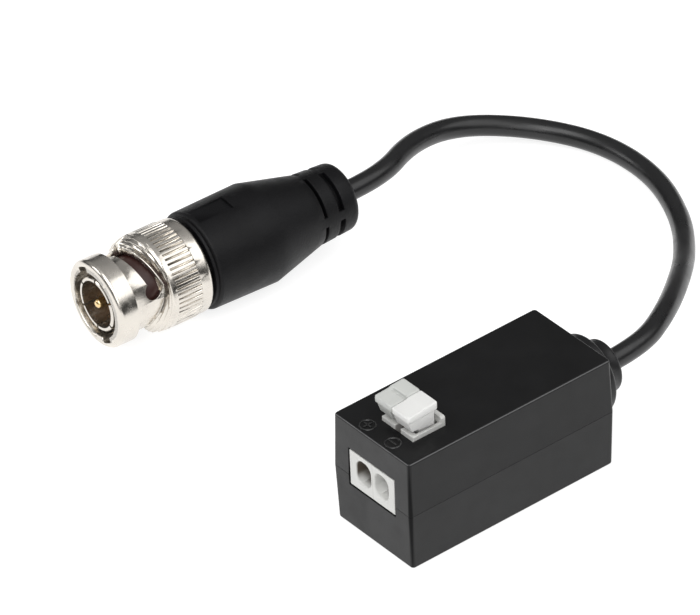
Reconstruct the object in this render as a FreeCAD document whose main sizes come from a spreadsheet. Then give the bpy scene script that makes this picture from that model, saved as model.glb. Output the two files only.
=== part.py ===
"""Video balun: a small two-shell box with a spring-clamp terminal at one end and a
short coaxial pigtail with a bayonet plug at the other.

Units are millimetres. The origin lies under the middle of the box on the surface that it
stands on: +X across the box, +Y from the terminals towards the cable, +Z up. The box's
pieces are drawn in a frame that starts at the terminal face, and the plug's pieces in one
that starts at the open face of its nut with +Y along the plug.
"""
import FreeCAD
import Part
import Sketcher

import math
import os
import re

Vector = FreeCAD.Vector

SIZES = {
    # housing: outside measures at the parting line
    "housing_width": 16.3, "housing_length": 35.6, "housing_height": 17.45,
    "parting_height": 8.9, "wall_thickness": 1.4, "wall_draft": 1.5,
    "corner_radius": 0.55, "rim_radius": 0.35, "fit_gap": 0.1,
    "lip_height": 1.0, "lip_thickness": 0.7, "lip_root": 2.0, "rail_width": 0.8,
    # window for the wires in the terminal face
    "window_width": 9.4, "window_bottom": 7.4, "window_height": 5.75, "window_gap": 0.18,
    # terminal block
    "pole_centre": 0.7, "pole_pitch": 3.62, "face_setback": 0.12,
    "block_width": 10.6, "block_length": 8.9, "block_headroom": 0.1,
    "tower_centre": 0.85, "tower_width": 6.6, "tower_front": 4.1, "tower_length": 5.6,
    "tower_rise": 0.55, "ear_rise": 0.9, "ear_thickness": 0.75,
    "notch_start": 0.4, "notch_width": 1.05, "notch_length": 1.2, "notch_depth": 2.6,
    "hole_centre": 0.0, "hole_pitch": 3.7, "hole_width": 2.9, "hole_height": 3.7,
    "hole_lift": 0.17, "hole_radius": 1.2, "hole_funnel": 0.2, "hole_mouth": 2.4,
    "channel_end": 9.4,
    "shaft_width": 2.2, "shaft_front": 5.0, "shaft_length": 3.87,
    # levers
    "stem_width": 2.0, "stem_front": 5.65, "stem_length": 1.85, "stem_depth": 2.5,
    "pad_width": 3.55, "pad_front": 3.3, "pad_length": 5.1, "pad_rise": 4.17,
    "pad_thickness": 1.1, "pad_slope": 0.4, "pad_step": 0.14, "pad_radius": 0.3,
    "grip_width": 0.4, "grip_depth": 0.35, "grip_place": 2.4, "grip_inset": 0.75,
    "pivot_depth": 8.15, "pivot_drop": 2.15, "barrel_radius": 0.6,
    "trunnion_radius": 0.42, "trunnion_reach": 0.3, "trunnion_gap": 0.05,
    # clamp springs and contact bars
    "spring_width": 2.0, "spring_thickness": 0.25, "spring_gap": 0.05,
    "bar_width": 2.3, "bar_thickness": 0.4, "bar_start": 2.6, "bar_length": 6.4,
    "tail_width": 0.9, "tail_place": 7.6, "tail_stub": 0.8,
    # circuit board and what it carries
    "board_thickness": 1.0, "board_bottom": 4.2, "board_width": 12.6,
    "board_start": 1.7, "board_end_gap": 0.1, "board_hole": 0.65,
    "core_outer": 4.5, "core_inner": 2.4, "core_height": 4.2, "core_edge": 0.4,
    "wire_thickness": 0.5, "winding_gap": 0.05, "winding_step": 22.0,
    "chip_length": 2.0, "chip_width": 1.25, "chip_height": 0.75, "chip_cap": 0.35,
    "resistor_gap": 0.4, "resistor_spread": 5.0, "capacitor_gap": 0.5, "capacitor_spread": 4.3,
    "diode_length": 4.2, "diode_width": 3.6, "diode_height": 2.1, "diode_gap": 0.45,
    # cable and its moulded relief at the box
    "cable_radius": 1.55, "cable_height": 9.6, "relief_length": 5.4,
    "relief_step": 2.7, "relief_radius": 3.9, "relief_flange": 5.85,
    "relief_neck": 3.4, "relief_collar": 4.6, "relief_collar_length": 1.2,
    "relief_rounding": 0.6,
    "core_wire_radius": 0.45, "core_wire_across": -0.6, "core_wire_reach": 1.3,
    "shield_wire_radius": 0.4, "shield_wire_across": 0.8, "shield_wire_reach": 1.2,
    "tail_strip": 2.0,
    # plug: place and heading
    "plug_across": -59.55, "plug_along": -21.45, "plug_height": 7.5, "plug_yaw": 3.2,
    # coupling nut, from its open face
    "nut_length": 15.4, "nut_bore": 4.95, "nut_ring_radius": 6.55, "nut_ring_length": 3.05,
    "nut_barrel_radius": 5.65, "nut_collar_start": 5.6, "nut_collar_end": 8.5,
    "nut_grip_radius": 7.2, "nut_rim_length": 0.8, "knurl_length": 3.95,
    "knurl_depth": 0.3, "nut_band_radius": 7.1, "nut_shoulder_start": 11.2,
    "nut_shoulder_length": 1.1, "nut_skirt_radius": 5.95, "nut_edge": 0.7,
    "slot_width": 2.0, "slot_entry_angle": -28.0, "slot_sweep": 90.0, "slot_entry_end": 5.55,
    "slot_rise": 1.55, "slot_bend": 1.45, "eye_radius": 1.2, "eye_back": 0.7,
    "eye_turn": 4.0, "slot_skin": 0.85, "slot_overrun": 1.0, "slot_land": 0.12,
    "collar_lead": 6.0, "collar_return": 74.0,
    # plug body and what it carries
    "body_flange_radius": 4.75, "body_flange_start": 7.8, "body_flange_length": 2.4,
    "body_neck_radius": 3.9, "body_end": 15.9, "stem_radius": 2.4, "stem_bore": 1.6,
    "crimp_end": 22.4, "running_gap": 0.08,
    "sleeve_radius": 4.05, "sleeve_wall": 0.5, "sleeve_start": 0.25, "sleeve_seat": 1.4,
    "slit_width": 0.34, "slit_length": 4.6,
    "insulator_start": 6.0, "pin_radius": 0.675, "pin_start": 0.15, "pin_root_radius": 1.0,
    "pin_end": 16.5, "gasket_start": 5.3, "gasket_thickness": 0.72,
    "washer_thickness": 0.4, "washer_radius": 5.5, "clip_thickness": 0.6, "clip_bite": 0.25,
    "clip_radius": 5.2, "clip_play": 0.03, "clip_opening": 50.0,
    "wave_height": 0.32, "wave_thickness": 0.3,
    "ferrule_wall": 0.5, "ferrule_start": 16.0, "ferrule_end": 24.0,
    # boot
    "boot_radius": 7.3, "boot_swell": 0.2, "boot_taper_start": 27.1, "boot_taper_end": 35.6,
    "boot_tail_radius": 5.4, "boot_length": 26.0, "boot_flange_radius": 5.0,
    "boot_groove_depth": 0.8, "boot_groove_1": 0.5, "boot_ring": 2.1, "boot_groove_2": 0.9,
    "boot_web": 16.0, "boot_edge": 0.5, "boot_end_edge": 1.1, "boot_nose": 6.7,
    "boot_nose_length": 0.45,
    "panel_start": 17.2, "panel_length": 5.6, "panel_width": 3.0, "panel_depth": 0.25,
}

doc = FreeCAD.newDocument("video_balun")
sheet = doc.addObject("Spreadsheet::Sheet", "Sizes")
for row, (alias, number) in enumerate(SIZES.items(), start=1):
    sheet.set(f"A{row}", alias)
    sheet.set(f"B{row}", str(number))
    sheet.setAlias(f"B{row}", alias)
doc.recompute()

PIECES = []
KNURL_TEETH = 60
SLEEVE_SLITS = 6
# The nut's domed collar: four lands with a small riser before each, as shares
# of its length and of its climb from the barrel to the grip.
COLLAR_LANDS = [(0, 0), (0, 0.18), (0.14, 0.38), (0.14, 0.47), (0.36, 0.65), (0.36, 0.73),
                (0.68, 0.84), (0.68, 0.91), (1, 1)]


def bound(words):
    """An expression with each size's name pointed at the sheet."""
    return re.sub(r"\b([a-z]+(?:_[a-z0-9]+)+)\b", r"Sizes.\1", words)


def size(words):
    """The value that an expression of sizes has now."""
    result = sheet.evalExpression(words)
    return float(getattr(result, "Value", result))


def in_box(piece):
    """Puts a piece that is drawn from the terminal face into the box."""
    piece.setExpression("Placement.Base.y", bound("-(housing_length + relief_length) / 2"))
    PIECES.append(piece)
    return piece


def on_plug(piece):
    """Puts a piece that is drawn from the nut's open face onto the plug."""
    piece.Placement = FreeCAD.Placement(Vector(), FreeCAD.Rotation(Vector(0, 0, 1), -1))
    piece.setExpression("Placement.Base.x", bound("plug_across"))
    piece.setExpression("Placement.Base.y", bound("plug_along"))
    piece.setExpression("Placement.Base.z", bound("plug_height"))
    piece.setExpression("Placement.Rotation.Angle", bound("-plug_yaw"))
    PIECES.append(piece)
    return piece


def new_body(label):
    body = doc.addObject("PartDesign::Body", label)
    body.Label = label
    return body


def origin_part(body, role):
    return next(item for item in body.Origin.OriginFeatures if item.Role == role)


def new_sketch(body, role, name, lift=None):
    """A sketch on one of the body's own planes, lifted along that plane's normal."""
    sketch = body.newObject("Sketcher::SketchObject", name)
    sketch.AttachmentSupport = (origin_part(body, role), [""])
    sketch.MapMode = "FlatFace"
    if lift:
        sketch.setExpression("AttachmentOffset.Base.z", bound(lift))
    return sketch


def pin_point(sketch, line, end, across, up, name):
    """Holds one end of a line, or a circle's centre, at a place given by expressions."""
    for words, kind, axis in ((across, "DistanceX", -2), (up, "DistanceY", -1)):
        if words == "0":
            sketch.addConstraint(Sketcher.Constraint("PointOnObject", line, end, axis))
            continue
        where = sketch.addConstraint(Sketcher.Constraint(kind, -1, 1, line, end, size(words)))
        sketch.renameConstraint(where, f"{name}_{kind[-1].lower()}")
        sketch.setExpression(f"Constraints.{name}_{kind[-1].lower()}", bound(words))


def outline(sketch, corners, name="corner"):
    """A closed outline through corners given as pairs of expressions."""
    first = sketch.GeometryCount
    places = [Vector(size(x), size(y), 0) for x, y in corners]
    count = len(places)
    for here, there in zip(places, places[1:] + places[:1]):
        sketch.addGeometry(Part.LineSegment(here, there), False)
    for turn in range(count):
        joined = first + (turn + 1) % count
        sketch.addConstraint(Sketcher.Constraint("Coincident", first + turn, 2, joined, 1))
    for turn, (x, y) in enumerate(corners):
        pin_point(sketch, first + turn, 1, x, y, f"{name}{turn}")


def rectangle(sketch, left, right, low, high, name="side"):
    outline(sketch, [(left, low), (right, low), (right, high), (left, high)], name)


def ring(sketch, radius, x="0", y="0", name="ring"):
    """A circle with its radius and centre given by expressions."""
    centre = Vector(size(x), size(y), 0)
    index = sketch.addGeometry(Part.Circle(centre, Vector(0, 0, 1), size(radius)), False)
    where = sketch.addConstraint(Sketcher.Constraint("Radius", index, size(radius)))
    sketch.renameConstraint(where, f"{name}_radius")
    sketch.setExpression(f"Constraints.{name}_radius", bound(radius))
    pin_point(sketch, index, 3, x, y, name)


def extrude(body, kind, name, sketch, length, reverse=False, both=False, taper=None):
    """A pad or a pocket of a sketch."""
    feature = body.newObject(f"PartDesign::{kind}", name)
    feature.Profile = sketch
    feature.setExpression("Length", bound(length))
    feature.Reversed = reverse
    feature.Midplane = both
    if taper:
        feature.setExpression("TaperAngle", bound(taper))
    sketch.Visibility = False
    return feature


def turn_profile(body, corners, name="turning", kind="Revolution", angle=None):
    """A revolved outline: corners are (radius, distance along the axis)."""
    sketch = new_sketch(body, "XY_Plane", f"{name}_outline")
    outline(sketch, corners)
    feature = body.newObject(f"PartDesign::{kind}", name)
    feature.Profile = sketch
    feature.ReferenceAxis = (sketch, ["V_Axis"])
    if angle:
        feature.setExpression("Angle", bound(angle))
    else:
        feature.Angle = 360
    return feature


def edges_where(feature, test):
    doc.recompute()
    found = enumerate(feature.Shape.Edges, start=1)
    return [f"Edge{index}" for index, edge in found if test(edge)]


def dress(body, kind, name, feature, test, amount):
    """A fillet or a chamfer on the edges that pass a test."""
    names = edges_where(feature, test)
    dressing = body.newObject(f"PartDesign::{kind}", name)
    dressing.Base = (feature, names)
    dressing.setExpression("Radius" if kind == "Fillet" else "Size", bound(amount))
    return dressing


def circular(body, name, original, count, axis="Y_Axis"):
    """Repeats a feature evenly round one of the body's axes."""
    pattern = body.newObject("PartDesign::PolarPattern", name)
    pattern.Originals = [original]
    pattern.Axis = (origin_part(body, axis), [""])
    pattern.Angle = 360
    if isinstance(count, str):
        pattern.setExpression("Occurrences", bound(count))
    else:
        pattern.Occurrences = count
    body.Tip = pattern
    return pattern


def middle(edge):
    return edge.valueAt((edge.FirstParameter + edge.LastParameter) / 2)


def is_upright(edge):
    """Runs mainly up and down, as the housing's drafted corners do."""
    ends = [vertex.Point for vertex in edge.Vertexes]
    if len(ends) != 2:
        return False
    run = ends[1] - ends[0]
    return abs(run.z) > 0.9 * run.Length


def lies_at_radius(edge, radius):
    """A circle round the plug's axis of that radius."""
    curve = edge.Curve
    return isinstance(curve, Part.Circle) and abs(curve.Radius - radius) < 1e-4


def lies_at(edge, radius, along):
    return lies_at_radius(edge, radius) and abs(edge.Curve.Center.y - along) < 1e-4


# Heights and depths that several pieces share, written in terms of the sheet.
BOARD_TOP = "board_bottom + board_thickness"
TOWER_TOP = "housing_height + tower_rise"
HOLE_MIDDLE = "window_bottom + window_height / 2 + hole_lift"
PIVOT_HEIGHT = "housing_height - pivot_drop"
SLEEVE_BORE = "sleeve_radius - sleeve_wall"
INSIDE_END = "(housing_length - wall_thickness)"
BLOCK_END = "(wall_thickness + fit_gap + block_length)"
TAIL_START = f"({INSIDE_END} - relief_collar_length - tail_strip)"
LEAD_BACK = f"({TAIL_START} - core_wire_reach - core_wire_radius)"
DIODE_FRONT = f"({LEAD_BACK} - diode_gap - diode_length)"
CORE_PLACE = f"(({BLOCK_END} + {DIODE_FRONT}) / 2)"
TOWER_SIDES = {sign: f"tower_centre {sign} tower_width / 2" for sign in "-+"}
BOOT_START = "body_end"
BOOT_END = "body_end + boot_length"
POLES = {"left": "pole_centre - pole_pitch / 2", "right": "pole_centre + pole_pitch / 2"}
HOLES = {"left": "hole_centre - hole_pitch / 2", "right": "hole_centre + hole_pitch / 2"}


def make_shell(label, upper):
    """One half of the housing, drafted away from the parting line and hollowed."""
    body = new_body(label)
    half = "housing_width / 2"
    footprint = new_sketch(body, "XY_Plane", f"{label}_footprint", "parting_height")
    rectangle(footprint, f"-{half}", half, "0", "housing_length")
    depth = "housing_height - parting_height" if upper else "parting_height"
    block = extrude(body, "Pad", f"{label}_block", footprint, depth,
                    reverse=not upper, taper="-wall_draft")
    corners = dress(body, "Fillet", f"{label}_corners", block, is_upright, "corner_radius")
    far = size("housing_height") if upper else 0.0
    rim = dress(body, "Fillet", f"{label}_rim", corners,
                lambda edge: all(abs(v.Z - far) < 1e-4 for v in edge.Vertexes), "rim_radius")
    hollow = new_sketch(body, "XY_Plane", f"{label}_hollow", "parting_height")
    rectangle(hollow, f"-{half} + wall_thickness", f"{half} - wall_thickness",
              "wall_thickness", "housing_length - wall_thickness")
    extrude(body, "Pocket", f"{label}_cavity", hollow, f"{depth} - wall_thickness",
            reverse=upper)
    window = new_sketch(body, "XZ_Plane", f"{label}_window", "-wall_thickness")
    low, high = ("parting_height", "window_bottom + window_height + window_gap") if upper \
        else ("window_bottom - window_gap", "parting_height")
    rectangle(window, "-window_width / 2 - window_gap", "window_width / 2 + window_gap", low, high)
    extrude(body, "Pocket", f"{label}_wire_window", window, "wall_thickness * 3", both=True)
    return body


def cut_relief_seat(body, upper):
    """The hole in the rear wall for the relief's neck."""
    seat = new_sketch(body, "XZ_Plane", f"{body.Label}_seat", "-(housing_length - wall_thickness / 2)")
    ring(seat, "relief_neck", y="cable_height")
    extrude(body, "Pocket", f"{body.Label}_relief_hole", seat, "wall_thickness * 2", both=True)
    if upper:
        mouth = new_sketch(body, "XZ_Plane", "relief_mouth", "-(housing_length - wall_thickness / 2)")
        rectangle(mouth, "-relief_neck", "relief_neck", "parting_height", "cable_height")
        extrude(body, "Pocket", "relief_mouth_cut", mouth, "wall_thickness * 2", both=True)


def make_upper_shell():
    body = make_shell("upper_shell", True)
    cut_relief_seat(body, True)
    opening = new_sketch(body, "XY_Plane", "lever_opening", "housing_height - wall_thickness / 2")
    rectangle(opening, f"{TOWER_SIDES['-']} - fit_gap", f"{TOWER_SIDES['+']} + fit_gap",
              "tower_front - fit_gap", "tower_front + tower_length + fit_gap")
    extrude(body, "Pocket", "lever_opening_cut", opening, "wall_thickness * 2", both=True)
    return in_box(body)


def make_lower_shell():
    """The tray: side tongues guide the upper shell, and rails carry the board."""
    body = make_shell("lower_shell", False)
    inside = "housing_width / 2 - wall_thickness"
    end = "housing_length - wall_thickness"
    for side, sign in (("left", "-"), ("right", "")):
        rail = new_sketch(body, "XY_Plane", f"rail_{side}", "wall_thickness")
        rectangle(rail, f"{sign}({inside} - rail_width)", f"{sign}({inside})",
                  "wall_thickness", end)
        extrude(body, "Pad", f"rail_{side}_pad", rail, "board_bottom - wall_thickness")
        root = new_sketch(body, "XY_Plane", f"lip_root_{side}", "parting_height")
        rectangle(root, f"{sign}({inside} - fit_gap - lip_thickness)", f"{sign}({inside})",
                  "block_length + wall_thickness + 1.2", f"{end} - 2.6")
        extrude(body, "Pad", f"lip_root_{side}_pad", root, "lip_root", reverse=True)
        lip = new_sketch(body, "XY_Plane", f"lip_{side}", "parting_height")
        rectangle(lip, f"{sign}({inside} - fit_gap - lip_thickness)",
                  f"{sign}({inside} - fit_gap)",
                  "block_length + wall_thickness + 1.2", f"{end} - 2.6")
        extrude(body, "Pad", f"lip_{side}_pad", lip, "lip_height")
    cut_relief_seat(body, False)
    return in_box(body)


def make_terminal_body():
    """The moulded block behind the window, with its tower for the levers."""
    body = new_body("terminal_body")
    start = "wall_thickness + fit_gap"
    block = new_sketch(body, "XY_Plane", "block_footprint", BOARD_TOP)
    rectangle(block, "-block_width / 2", "block_width / 2", start, f"{start} + block_length")
    extrude(body, "Pad", "block", block,
            f"housing_height - wall_thickness - block_headroom - ({BOARD_TOP})")
    face = new_sketch(body, "XZ_Plane", "window_face", f"-({start})")
    rectangle(face, "-window_width / 2", "window_width / 2",
              "window_bottom", "window_bottom + window_height")
    extrude(body, "Pad", "window_fill", face, f"{start} - face_setback")
    tower = new_sketch(body, "XY_Plane", "tower_footprint", f"{BOARD_TOP} + 1")
    rectangle(tower, TOWER_SIDES["-"], TOWER_SIDES["+"],
              "tower_front", "tower_front + tower_length")
    extrude(body, "Pad", "tower", tower, f"{TOWER_TOP} - ({BOARD_TOP}) - 1")
    ear = new_sketch(body, "XY_Plane", "ear_footprint", f"{TOWER_TOP} - 0.2")
    back = "tower_front + tower_length"
    rectangle(ear, TOWER_SIDES["-"], TOWER_SIDES["+"], f"{back} - ear_thickness", back)
    rear_wall = extrude(body, "Pad", "rear_ear", ear, "ear_rise + 0.2")
    top = size(TOWER_TOP) + size("ear_rise")
    dress(body, "Fillet", "ear_corners", rear_wall,
          lambda edge: abs(middle(edge).z - top) < 1e-4 and len(edge.Vertexes) == 2
          and abs(edge.Vertexes[0].X - edge.Vertexes[1].X) < 1e-4, "ear_thickness / 2")
    notch = new_sketch(body, "XY_Plane", "notch_footprint", TOWER_TOP)
    rectangle(notch, "notch_start", "notch_start + notch_width",
              "tower_front - fit_gap", "tower_front + notch_length")
    extrude(body, "Pocket", "front_notch", notch, "notch_depth")
    for side, centre in POLES.items():
        shaft = new_sketch(body, "XY_Plane", f"shaft_{side}", f"{TOWER_TOP} + ear_rise")
        rectangle(shaft, f"{centre} - shaft_width / 2", f"{centre} + shaft_width / 2",
                  "shaft_front", "shaft_front + shaft_length")
        extrude(body, "Pocket", f"shaft_{side}_cut", shaft,
                f"{TOWER_TOP} + ear_rise - ({HOLE_MIDDLE})")
    for side, centre in HOLES.items():
        hole = new_sketch(body, "XZ_Plane", f"channel_{side}")
        rectangle(hole, f"{centre} - hole_width / 2", f"{centre} + hole_width / 2",
                  f"{HOLE_MIDDLE} - hole_height / 2", f"{HOLE_MIDDLE} + hole_height / 2")
        channel = extrude(body, "Pocket", f"channel_{side}_mouth", hole, "hole_mouth")
    mouth = size("face_setback")
    corner_heights = [size(f"{HOLE_MIDDLE} {sign} hole_height / 2") for sign in "+-"]
    rounded = dress(body, "Fillet", "hole_corners", channel,
                    lambda edge: is_hole_corner(edge, mouth, corner_heights), "hole_radius")
    dress(body, "Chamfer", "hole_funnels", rounded,
          lambda edge: is_hole_mouth(edge, mouth), "hole_funnel")
    for side, centre in POLES.items():
        rear = new_sketch(body, "XZ_Plane", f"channel_{side}_rear", "-hole_mouth")
        rectangle(rear, f"{centre} - hole_width / 2", f"{centre} + hole_width / 2",
                  f"{HOLE_MIDDLE} - hole_height / 2", f"{HOLE_MIDDLE} + hole_height / 2")
        extrude(body, "Pocket", f"channel_{side}_cut", rear, "channel_end - hole_mouth")
    pivots = new_sketch(body, "YZ_Plane", "pivot_axis", "pole_centre")
    ring(pivots, "trunnion_radius + trunnion_gap", "pivot_depth", PIVOT_HEIGHT)
    extrude(body, "Pocket", "trunnion_holes", pivots,
            "pole_pitch + shaft_width + 2 * trunnion_reach + 2 * trunnion_gap", both=True)
    for side, centre in POLES.items():
        leg = new_sketch(body, "XY_Plane", f"leg_{side}", HOLE_MIDDLE)
        rectangle(leg, f"{centre} - tail_width / 2 - spring_gap",
                  f"{centre} + tail_width / 2 + spring_gap",
                  "tail_place - spring_gap", "tail_place + bar_thickness + spring_gap")
        extrude(body, "Pocket", f"leg_{side}_cut", leg, f"{HOLE_MIDDLE} - board_bottom")
    return in_box(body)


def is_hole_corner(edge, mouth, heights):
    """A corner of a wire hole, running back from the terminal's face."""
    ends = [vertex.Point for vertex in edge.Vertexes]
    if len(ends) != 2 or abs(ends[0].y - ends[1].y) < 1:
        return False
    level = abs(ends[0].z - ends[1].z) < 1e-6 and abs(ends[0].x - ends[1].x) < 1e-6
    starts = min(ends[0].y, ends[1].y) < mouth + 1e-4
    reach = size("hole_width") / 2
    offsets = [abs(abs(ends[0].x - size(centre)) - reach) for centre in HOLES.values()]
    return level and starts and min(offsets) < 1e-4 and min(abs(ends[0].z - z) for z in heights) < 1e-4


def is_hole_mouth(edge, mouth):
    """An edge in the terminal's face that belongs to a wire hole, not to the outline."""
    spot = middle(edge)
    offsets = [abs(spot.x - size(centre)) for centre in HOLES.values()]
    inside = min(offsets) < size("hole_width") / 2 + 1e-4
    tall = abs(spot.z - size(HOLE_MIDDLE)) < size("hole_height") / 2 + 1e-4
    in_face = all(abs(vertex.Y - mouth) < 1e-4 for vertex in edge.Vertexes)
    return in_face and abs(spot.y - mouth) < 1e-4 and inside and tall


def make_lever(side, centre):
    """A push lever: pad, stem, and a barrel with two trunnions; the left one is grooved."""
    label = f"lever_{side}"
    body = new_body(label)
    under = "housing_height + pad_rise - pad_thickness"
    foot = f"{PIVOT_HEIGHT} - stem_depth"
    stem = new_sketch(body, "YZ_Plane", f"{label}_stem_side", centre)
    rectangle(stem, "stem_front", "stem_front + stem_length", foot, f"{under} + 0.3")
    extrude(body, "Pad", f"{label}_stem", stem, "stem_width", both=True)
    arm = new_sketch(body, "YZ_Plane", f"{label}_arm_side", centre)
    rectangle(arm, "stem_front + stem_length - 0.3", "pivot_depth",
              f"{PIVOT_HEIGHT} - barrel_radius", f"{PIVOT_HEIGHT} + barrel_radius")
    extrude(body, "Pad", f"{label}_arm", arm, "stem_width", both=True)
    barrel = new_sketch(body, "YZ_Plane", f"{label}_barrel_end", centre)
    ring(barrel, "barrel_radius", "pivot_depth", PIVOT_HEIGHT)
    extrude(body, "Pad", f"{label}_barrel", barrel, "stem_width", both=True)
    trunnion = new_sketch(body, "YZ_Plane", f"{label}_trunnion_end", centre)
    ring(trunnion, "trunnion_radius", "pivot_depth", PIVOT_HEIGHT)
    extrude(body, "Pad", f"{label}_trunnions", trunnion,
            "shaft_width + 2 * trunnion_reach", both=True)
    pad = new_sketch(body, "YZ_Plane", f"{label}_pad_side", centre)
    front, back = "pad_front", "pad_front + pad_length"
    top = "housing_height + pad_rise"
    grip = "pad_front + grip_place"
    slope = "pad_slope / pad_length"
    outline(pad, [
        (front, under), (back, f"{under} + pad_slope / 2"), (back, f"{top} + pad_slope"),
        (f"{grip} + grip_width", f"{top} + (grip_place + grip_width) * {slope} + pad_step / 2"),
        (grip, f"{top} + grip_place * {slope} - pad_step / 2"), (front, top)])
    plate = extrude(body, "Pad", f"{label}_pad", pad, "pad_width", both=True)
    low = size(under) + 1e-3
    dress(body, "Fillet", f"{label}_pad_corners", plate,
          lambda edge: is_upright(edge) and middle(edge).z > low
          and abs(abs(middle(edge).x - size(centre)) - size("pad_width") / 2) < 1e-4,
          "pad_radius")
    if side == "left":
        groove = new_sketch(body, "XY_Plane", "grip_outline", f"{top} + pad_slope")
        rectangle(groove, f"{centre} - pad_width / 2 + grip_inset",
                  f"{centre} + pad_width / 2 + fit_gap", grip, f"{grip} + grip_width")
        extrude(body, "Pocket", "grip_groove", groove, "pad_slope + grip_depth")
    return in_box(body)


def make_clamp_spring(side, centre):
    """A folded strip: seat under the lever's foot, bend at the front, clamping leg."""
    label = f"clamp_spring_{side}"
    body = new_body(label)
    thick = "spring_thickness"
    foot = f"{PIVOT_HEIGHT} - stem_depth - spring_gap"
    low = f"{HOLE_MIDDLE} - hole_height / 2 + bar_thickness"
    strip = new_sketch(body, "YZ_Plane", f"{label}_side", centre)
    outline(strip, [
        ("shaft_front + 0.3", f"{foot} - 0.2"), ("shaft_front + 0.6", foot),
        ("shaft_front + shaft_length - 0.2", foot),
        ("shaft_front + shaft_length - 0.2", f"{foot} - {thick}"),
        (f"shaft_front + 0.6 + {thick} / 2", f"{foot} - {thick}"),
        (f"shaft_front + 0.3 + {thick}", f"{foot} - 0.2 - {thick}"),
        (f"shaft_front + 0.4 + {thick}", f"{foot} - 1.4"),
        ("stem_front + stem_length + 0.3", f"{low} + 0.3"),
        ("stem_front + stem_length + 0.1", f"{low} + 0.1"),
        ("shaft_front + 0.4", f"{foot} - 1.5")])
    extrude(body, "Pad", f"{label}_strip", strip, "spring_width", both=True)
    return in_box(body)


def make_contact_bar(side, centre):
    """A bar along the bottom of the wire channel with a leg down to the board."""
    label = f"contact_bar_{side}"
    body = new_body(label)
    floor = f"{HOLE_MIDDLE} - hole_height / 2"
    bar = new_sketch(body, "XY_Plane", f"{label}_footprint", floor)
    rectangle(bar, f"{centre} - bar_width / 2", f"{centre} + bar_width / 2",
              "bar_start", "bar_start + bar_length")
    extrude(body, "Pad", f"{label}_bar", bar, "bar_thickness")
    leg = new_sketch(body, "XY_Plane", f"{label}_leg_footprint", floor)
    rectangle(leg, f"{centre} - tail_width / 2", f"{centre} + tail_width / 2",
              "tail_place", "tail_place + bar_thickness")
    extrude(body, "Pad", f"{label}_leg", leg, f"{floor} - board_bottom + tail_stub", reverse=True)
    return in_box(body)


def make_circuit_board():
    body = new_body("circuit_board")
    outline_sketch = new_sketch(body, "XY_Plane", "board_outline", "board_bottom")
    rectangle(outline_sketch, "-board_width / 2", "board_width / 2",
              "board_start", f"{INSIDE_END} - relief_collar_length - board_end_gap")
    for side, centre in POLES.items():
        ring(outline_sketch, "board_hole", centre, "tail_place + bar_thickness / 2", f"hole_{side}")
    extrude(body, "Pad", "board_plate", outline_sketch, "board_thickness")
    return in_box(body)


def make_toroid_core():
    body = new_body("toroid_core")
    rings = new_sketch(body, "XY_Plane", "core_rings", f"{BOARD_TOP} + wire_thickness + winding_gap")
    ring(rings, "core_outer", y=CORE_PLACE, name="outer")
    ring(rings, "core_inner", y=CORE_PLACE, name="inner")
    core = extrude(body, "Pad", "core_block", rings, "core_height")
    dress(body, "Chamfer", "core_edges", core,
          lambda edge: isinstance(edge.Curve, Part.Circle), "core_edge")
    return in_box(body)


def make_winding(label, first_angle, turns):
    """Turns of enamelled wire round the core, each a closed square loop on the board."""
    winding = doc.addObject("Part::Feature", label)
    winding.Label = label
    wire, gap = size("wire_thickness"), size("winding_gap")
    inner, outer = size("core_inner - winding_gap"), size("core_outer + winding_gap")
    bottom = size(BOARD_TOP)
    tall = size("core_height") + 2 * gap
    centre = Vector(0, size(CORE_PLACE), 0)
    loops = []
    for turn in range(turns):
        frame = Part.makeBox(outer - inner + 2 * wire, wire, tall + 2 * wire,
                             Vector(inner - wire, -wire / 2, bottom))
        frame = frame.makeFillet(wire * 0.45, [e for e in frame.Edges
                                               if abs(e.tangentAt(e.FirstParameter).y) > 0.9])
        window = Part.makeBox(outer - inner, 2 * wire, tall, Vector(inner, -wire, bottom + wire))
        loop = frame.cut(window)
        loop.rotate(Vector(), Vector(0, 0, 1), first_angle + turn * size("winding_step"))
        loop.translate(centre)
        loops.append(loop)
    winding.Shape = Part.makeCompound(loops)
    return in_box(winding)


def make_chips(label, place, spread):
    """Two surface-mounted chips with capped ends, side by side on the board."""
    chips = []
    for side in (-1, 1):
        centre = side * size(spread)
        body = doc.addObject("Part::Box", f"{label}_{'right' if side > 0 else 'left'}")
        body.setExpression("Length", bound("chip_width"))
        body.setExpression("Width", bound("chip_length"))
        body.setExpression("Height", bound("chip_height"))
        body.setExpression("Placement.Base.x", bound(f"{side} * ({spread}) - chip_width / 2"))
        body.setExpression("Placement.Base.y", bound(place))
        body.setExpression("Placement.Base.z", bound(BOARD_TOP))
        chips.append(body)
    pair = doc.addObject("Part::Compound", label)
    pair.Label = label
    pair.Links = chips
    return in_box(pair)


def make_surge_diode():
    """A moulded two-lead surge diode, chamfered on top."""
    body = new_body("surge_diode")
    base = new_sketch(body, "XY_Plane", "diode_footprint", BOARD_TOP)
    rectangle(base, "-diode_width / 2", "diode_width / 2",
              DIODE_FRONT, f"{DIODE_FRONT} + diode_length")
    block = extrude(body, "Pad", "diode_block", base, "diode_height")
    top = size(f"{BOARD_TOP} + diode_height")
    dress(body, "Chamfer", "diode_bevel", block,
          lambda edge: abs(middle(edge).z - top) < 1e-4, "diode_height / 6")
    return in_box(body)


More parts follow.
